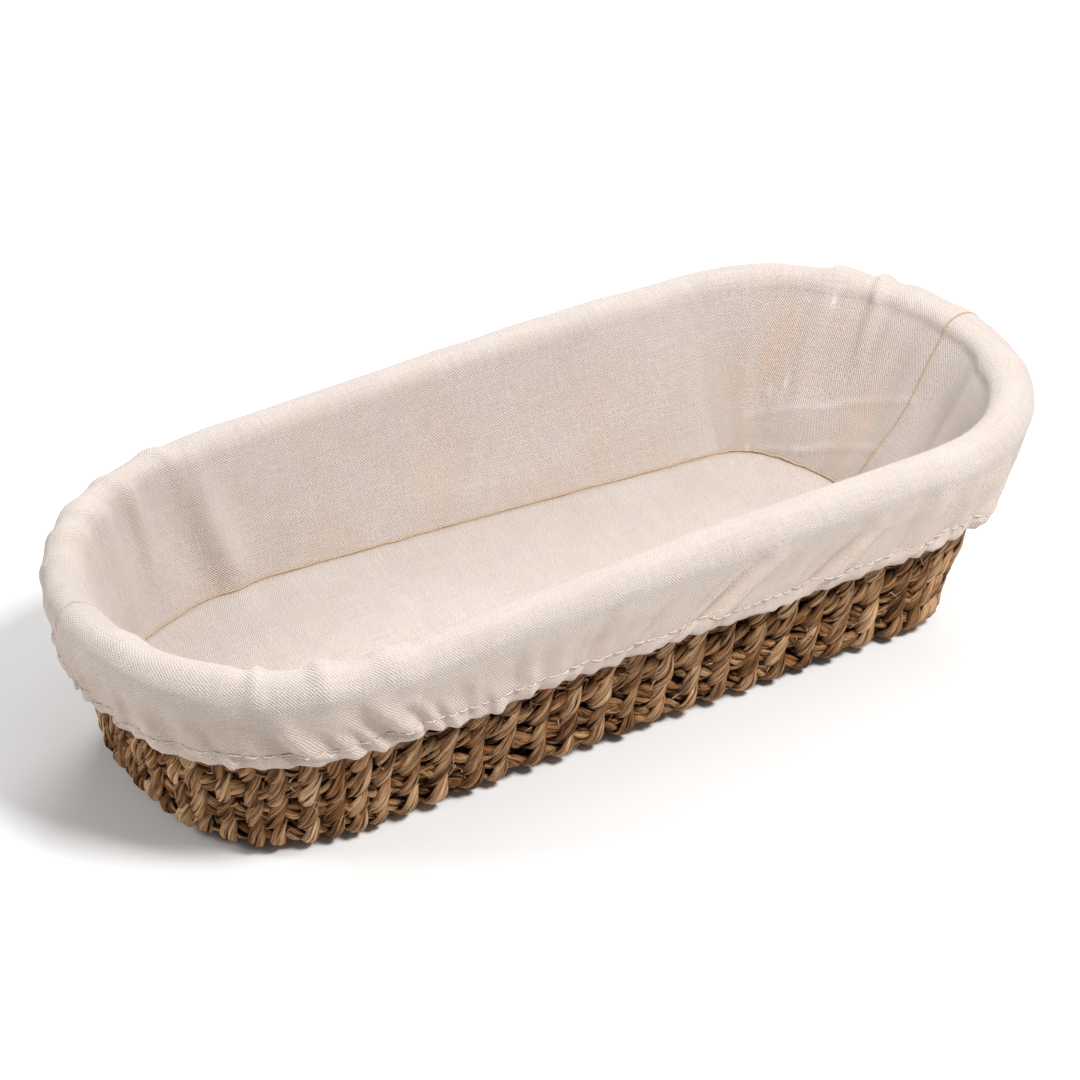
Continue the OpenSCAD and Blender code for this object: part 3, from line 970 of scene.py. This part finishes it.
def make_relief():
    """How far the cloth stands off its plain shape, square to it, and how far the hem is drawn up."""
    rng = np.random.default_rng(77)
    relief = np.zeros((len(RELIEF_S), len(RELIEF_T)))
    hitch = np.zeros(len(RELIEF_S))
    for tip, folds in ((LEFT_TIP, LEFT_FOLDS), (RIGHT_TIP, RIGHT_FOLDS), (0, CUFF_FOLDS)):
        for s_a, t_a, s_b, t_b, width, height in folds:
            relief += fold(tip + s_a, t_a, tip + s_b, t_b, width, FOLD_GAIN * height)
    relief *= 1 - 0.5 * bump(RELIEF_T, 1.55, 0.35) * bump(around(RELIEF_S, LEFT_TIP - 60), 0, 60)[:, None]
    relief += 0.4 * pressed(RELIEF_S, RELIEF_T)
    lean_s, lean = zip(*LEAN_AT)
    for place in hem_places(rng, 5.0, 11.5, 6):
        slope = np.interp(place, lean_s, lean)
        rise = rng.uniform(0.3, 0.9)
        depth = rng.uniform(0.5, 1.5)
        width = rng.uniform(1.5, 2.6)
        pucker = gather(place, slope, rise, width, -depth)
        pucker += gather(place + 2.2 * width, slope, rise, width, 0.7 * depth)
        relief += pucker * (1 - 0.5 * bump(RELIEF_T, 3, 0.12))
        hitch += 0.35 * depth * bump(around(RELIEF_S, place), 0, 2 * width)
    for place in hem_places(rng, 3.2, 7.5, 3):
        slope = np.interp(place, lean_s, lean)
        relief += gather(place, slope, 0.15, rng.uniform(1.0, 1.5), -rng.uniform(0.2, 0.7))
    # a row of small wrinkles over the rim at the front-left corner
    for k in range(7):
        relief += fold(LEFT_TIP - 47 + 6.8 * k, 2.3, LEFT_TIP - 45 + 6.8 * k, 1.3, 2.3, (0.65, -0.6)[k % 2])
    s, t = RELIEF_S[:, None], RELIEF_T[None]
    cuff = ease(t, 1.9, 2.5)
    relief += 0.6 * ease(t, 2.6, 3.0)
    relief += cuff * 0.6 * noise2((s + 9 * t) / 21, t * 1.2, 21)
    relief += bump(t, 1.5, 0.6) * (0.45 * noise2(s / 17, t * 1.2, 23) + 0.5 * noise2(s / 55, t, 24))
    wall = ease(t, 0.02, 0.4) * (1 - ease(t, 0.55, 1.25))
    relief += wall * (0.8 * noise2(s / 42, t * 2.2, 25) + 0.35 * noise2(s / 14, t * 1.3, 26))
    # the straw behind the cloth stops it from sinking further
    limit = 0.75 + 1.8 * wall + 0.8 * ease(t, 2.3, 2.9)
    relief = np.maximum(relief, 0) - limit * (1 - np.exp(np.minimum(relief, 0) / limit))
    # at the right-hand end the cloth runs straight from the rim's crest down to the wall
    relief += BRIDGE * bump(t, 0.95, 0.26) * bump(around(s, RIGHT_TIP), 0, 60)
    # and its cuff stands off the straw, which is drawn in under it
    relief += CUFF_STAND * ease(t, 1.9, 2.5) * bump(around(s, RIGHT_TIP), 0, 85)
    return relief, hitch


RELIEF, HITCH = make_relief()


def relief_at(s, t):
    """The relief at any point, smoothed between the grid's own."""
    i = (np.asarray(s, float) % ROUND) / (RELIEF_S[1] - RELIEF_S[0])
    j = np.clip(np.asarray(t, float) / (RELIEF_T[1] - RELIEF_T[0]), 0, len(RELIEF_T) - 1.001)
    i, j = np.broadcast_arrays(i, j)
    a, b = np.floor(i).astype(int), np.floor(j).astype(int)
    return between(RELIEF, a, b, i - a, j - b)


def cloth_point(s, t, lift=0.0):
    """A point of the liner, lift millimetres off the cloth's own face."""
    s = np.asarray(s, float) + sewn_drift(s, t)
    r, z, nr, nz = liner_curve(s, t)
    push = relief_at(s, t) + lift
    x, y, nx, ny = oval(s, r, z)
    hitch = np.interp(s % ROUND, RELIEF_S, HITCH, period=ROUND) * ease(t, 3.0, 4.0)
    wave = 0.9 * noise1(s / 26, 31) * ease(t, 2.2, 3.2)
    rise = hitch + wave - 0.4 * ease(t, 3, 4)
    return np.stack([x + nx * nr * push, y + ny * nr * push, z + nz * push + rise], -1)


# Points round the liner, from the left tip
RING = 1040
RING_S = LEFT_TIP + np.arange(RING) * ROUND / RING


def sheet_quads(n, m, ring=True, closed=False):
    """Faces between n sections of m points. ring joins the last section to the first,
    and closed joins the last point of each to its first."""
    i, j = np.meshgrid(np.arange(n if ring else n - 1), np.arange(m if closed else m - 1), indexing="ij")
    k, after = (j + 1) % m, (i + 1) % n
    return np.stack([i * m + j, after * m + j, after * m + k, i * m + k], -1)


def cloth_fibre(s, down):
    """The cloth's own coordinates: round the rim, and down the cloth."""
    return np.stack(np.broadcast_arrays(s[:, None], down[None], 0.0), -1)


def sheet_mesh(name, points, quads, fibre, tone, material, slot, nodes):
    mesh = Mesh()
    mesh.add(points, quads, np.zeros((0, 3), int), fibre, tone)
    return mesh.build(name, material, "liner", slot, nodes)


def shade_by_relief(tone, s, t, amount):
    """Paints shade into the hollows between the gathers and paints highlights on their ridges."""
    relief = relief_at(s[:, None], t[None]) * amount[None]
    tone[..., 0] += 0.26 * np.clip(-relief, 0, 1.3)
    tone[..., 2] += 0.16 * np.clip(relief - 0.5, 0, 1.5)


def spot(s, t, s_mid, t_mid, width, height):
    """1 at a place on the right-hand inner wall, falling to 0 round it. s_mid is from the right tip."""
    return bump(around(s, RIGHT_TIP + s_mid), 0, width)[:, None] * bump(t, t_mid, height)[None]


def build_panel(name, first, nodes):
    """A wall panel: up from the floor seam, over the rim and down to the stitch line."""
    s = LEFT_TIP + np.arange(first, first + RING // 2 + 1) * ROUND / RING
    parts = [k + np.arange(0, 1, 1 / size) for k, size in enumerate((WALL_CLOTH, ROLL_CLOTH, CUFF_CLOTH))]
    t = np.concatenate(parts + [[3.0]])
    down = np.interp(t, [0, 1, 2, 3], np.cumsum([0, WALL_CLOTH, ROLL_CLOTH, CUFF_CLOTH]))
    points = cloth_point(s[:, None], t[None])
    fibre = cloth_fibre(s, down)
    tone = np.zeros(fibre.shape)
    by_right = np.abs(around(s, RIGHT_TIP))
    tone[..., 0] = np.maximum(0.5 * bump(down, 0, 0.9)[None], 0.4 * bump(by_right, 0, 0.5)[:, None])
    # painted light: bright spots where light comes through gaps in the straw
    for mark in LIT_SPOTS:
        tone[..., 2] += spot(s, t, *mark)
    tone[..., 2] += 0.3 * pressed(s, t)
    stain = noise2(s[:, None] / 21, down[None] / 30, 71) + 0.5 * noise2(s[:, None] / 8, down[None] / 19, 72)
    stain = stain + 0.5 * bump(down, 0, 12)[None]
    # warmer blotches over the inner wall, and painted warm shade over the cuff
    tone[..., 1] = 0.4 * np.clip(stain - 0.1, 0, 1) * (1 - ease(t, 1.0, 1.5)) + 0.45 * ease(t, 1.6, 2.6)
    for *patch, strength in WARM_PATCHES:
        tone[..., 1] += strength * spot(s, t, *patch)
    shade_by_relief(tone, s, t, ease(t, 2.0, 2.6))
    quads = sheet_quads(len(s), len(t), ring=False)
    return sheet_mesh(name, points, quads, fibre, tone, cloth, "cloth", nodes)


# Thickness of the folded hem with the elastic inside it
HEM_THICK = 1.7


def build_casing():
    """The folded hem: down from the stitch line, round its lower edge and up again behind."""
    front_t = np.linspace(3, 4, 8)
    back_t = np.linspace(4, 3.06, 8)
    swell = 0.3 * np.sin(np.pi * (front_t - 3))
    behind = -HEM_THICK * np.sin(np.linspace(0.35, 1, 8) * math.pi / 2)
    t = np.concatenate([front_t, back_t])
    lift = np.concatenate([swell, behind])
    points = cloth_point(RING_S[:, None], t[None], lift[None])
    down = 70 + CASING * np.concatenate([front_t - 3, 5 - back_t])
    fibre = cloth_fibre(RING_S, down)
    tone = np.zeros(fibre.shape)
    tone[:, 0, 0] = 0.3
    # painted warm shade over the hem, as on the cuff
    tone[..., 1] = 0.48
    shade_by_relief(tone, RING_S, t, np.ones(len(t)))
    quads = sheet_quads(RING, len(t))
    return sheet_mesh("hem_casing_fold", points, quads, fibre, tone, cloth, "cloth", ["hem_casing"])


def build_elastic():
    """The flat elastic inside the hem."""
    across = np.linspace(3.25, 3.75, 4)
    t = np.concatenate([across, across[::-1]])
    lift = np.repeat([-0.75, -1.15], 4)
    points = cloth_point(RING_S[:, None], t[None], lift[None])
    fibre = cloth_fibre(RING_S, CASING * t)
    tone = np.zeros(fibre.shape)
    quads = sheet_quads(RING, len(t), closed=True)
    return sheet_mesh("hem_elastic_band", points, quads, fibre, tone, elastic, "elastic", ["hem_elastic"])


def build_stitches():
    """Machine stitches along the top of the casing."""
    rng = np.random.default_rng(5)
    mesh = Mesh()
    pitch, length, points = 4.0, 3.1, 9
    for k in range(int(ROUND / pitch)):
        s = k * pitch + np.linspace(0, length, points)
        arch = 0.42 * np.sin(np.linspace(0, math.pi, points)) ** 0.6
        line = cloth_point(s, np.full(points, 3.0), arch - 0.1)
        out = cloth_point(s, np.full(points, 3.0), 1.0) - cloth_point(s, np.full(points, 3.0))
        half = np.full(points, 0.23)
        shape = np.ones((points, 8))
        mesh.tube(line, out, half, half, shape, shape * 0, (rng.uniform(-1, 1), 0), rng.uniform(0, 90, 3))
    return mesh.build("hem_stitching_thread", stitching, "liner", "thread", ["hem_stitching"])


# How far the floor cloth sags below its seam
FLOOR_SAG = 3.6


def build_floor():
    """The floor panel: held at its seam, and sagging towards the straw in the middle."""
    edge = cloth_point(RING_S, np.zeros(RING))
    t = np.linspace(1, 0, 36)
    core_x = np.clip(edge[:, 0], -STRAIGHT_HALF, STRAIGHT_HALF) * 0.995
    core = np.stack([core_x, 0 * core_x, 0 * core_x], -1)
    points = core[:, None] + (edge - core)[:, None] * t[None, :, None]
    x, y = points[..., 0], points[..., 1]
    crumple = 0.5 * noise2(x / 30, y / 22, 61) + 0.35 * noise2(x / 11, y / 34, 62)
    pucker = 0.5 * noise1(RING_S / 7, 63)[:, None] * bump(t[None], 1, 0.25)
    seam_z = edge[:, None, 2]
    level = SEAM_Z - SEAM_TILT * x + SEAM_RISE / 2
    points[..., 2] = level + (seam_z - level) * t[None] ** 1.5 - FLOOR_SAG * (1 - t[None] ** 2.2)
    points[..., 2] += (crumple + pucker) * (1 - t[None] ** 6)
    fibre = np.stack([x, y, 0 * x], -1)
    tone = np.zeros(fibre.shape)
    tone[..., 0] = 0.3 * bump(t, 1, 0.02)
    tone[..., 1] = 0.35 * np.clip(noise2(x / 25, y / 15, 73) - 0.1, 0, 1)
    quads = sheet_quads(RING, len(t))
    return sheet_mesh("liner_floor_panel", points, quads, fibre, tone, cloth, "cloth", ["liner_floor"])


def build_seam(name, points, out, radius, crease, material, slot, nodes):
    """A sewn ridge along points, with out the way off the cloth."""
    n = len(points)
    half = np.full(n, radius)
    shape = 1 + 0.12 * noise2(np.arange(n)[:, None] / 2, np.arange(8)[None] * 1.3, 91)
    mesh = Mesh()
    mesh.tube(points, out, half, 0.7 * half, shape, np.full(shape.shape, crease), (0, 0), np.zeros(3))
    return mesh.build(name, material, "liner", slot, nodes)


def build_floor_seam():
    s = np.append(RING_S, RING_S[0])
    line = cloth_point(s, 0.012 + 0.006 * noise1(s / 6, 64), 0.12 * noise1(s / 9, 65))
    up = np.tile([0.0, 0, 1], (len(s), 1))
    return build_seam("floor_seam_thread", line, up, 0.4, 0.2, seam_thread, "thread", ["floor_seam"])


def build_end_seam(label, tip, crease, material):
    t = np.linspace(0.01, 2.99, 200)
    s = np.full(len(t), tip)
    line = cloth_point(s, t, 0.02)
    out = cloth_point(s, t, 1.0) - line
    name = f"end_seam_{label}"
    return build_seam(f"{name}_ridge", line, out, 0.36, crease, material, "cloth", [name])


front = build_panel("liner_panel_front", 0, ["liner_wall_front", "liner_cuff_front"])
back = build_panel("liner_panel_back", RING // 2, ["liner_wall_back", "liner_cuff_back"])
casing = build_casing()
band = build_elastic()
stitches = build_stitches()
floor = build_floor()
floor_seam = build_floor_seam()
end_seams = [
    build_end_seam("right", RIGHT_TIP, 0.3, seam_thread),
    build_end_seam("left", LEFT_TIP, 0.2, cloth),
]


# ---- Stage, light and camera ----

def build_stage():
    mesh = bpy.data.meshes.new("ground")
    half = 6.0
    corners = [(-half, -half, 0), (half, -half, 0), (half, half, 0), (-half, half, 0)]
    mesh.from_pydata(corners, [], [(0, 1, 2, 3)])
    material, tree = new_material("ground_white")
    grey = (0.77, 0.77, 0.77, 1)
    surface(tree, node(tree, "ShaderNodeBsdfPrincipled", {"Base Color": grey, "Roughness": 0.9}))
    mesh.materials.append(material)
    add_object("ground", mesh)


def area_light(name, place, target, size, watts):
    light = bpy.data.lights.new(name, "AREA")
    light.shape = "SQUARE"
    light.size = size
    light.energy = watts
    holder = add_object(name, light)
    holder.location = place
    holder.rotation_euler = (Vector(target) - Vector(place)).to_track_quat("-Z", "Y").to_euler()


build_stage()
area_light("top", (0.15, 0.15, 1.9), (0, 0, 0), 1.2, 3)
area_light("back_right", (0.9, 1.1, 1.1), (0, 0, 0.03), 0.7, 18)
area_light("front", (0.35, -0.82, 1.38), (0, 0, 0.03), 0.4, 30)
area_light("back_left", (-1.1, 0.5, 0.9), (0, 0, 0.03), 0.5, 8)
world = bpy.data.worlds.new("studio")
world.use_nodes = True
world.node_tree.nodes["Background"].inputs[0].default_value = (1, 1, 1, 1)
world.node_tree.nodes["Background"].inputs[1].default_value = 0.24
bpy.context.scene.world = world
bpy.context.scene.view_settings.view_transform = "Standard"

AZIMUTH, ELEVATION = math.radians(-33.46), math.radians(32.47)
DISTANCE = 1.2404
AIM = Vector((-0.0153, 0.0, 0.0463))
camera_data = bpy.data.cameras.new("camera")
camera_data.sensor_width = 36
camera_data.lens = 128.75
camera_data.shift_x = 0.0228
camera = add_object("camera", camera_data)
back_way = Vector((
    math.sin(AZIMUTH) * math.cos(ELEVATION), -math.cos(AZIMUTH) * math.cos(ELEVATION), math.sin(ELEVATION)))
camera.location = AIM + DISTANCE * back_way
camera.rotation_euler = (-back_way).to_track_quat("-Z", "Y").to_euler()
bpy.context.scene.camera = camera
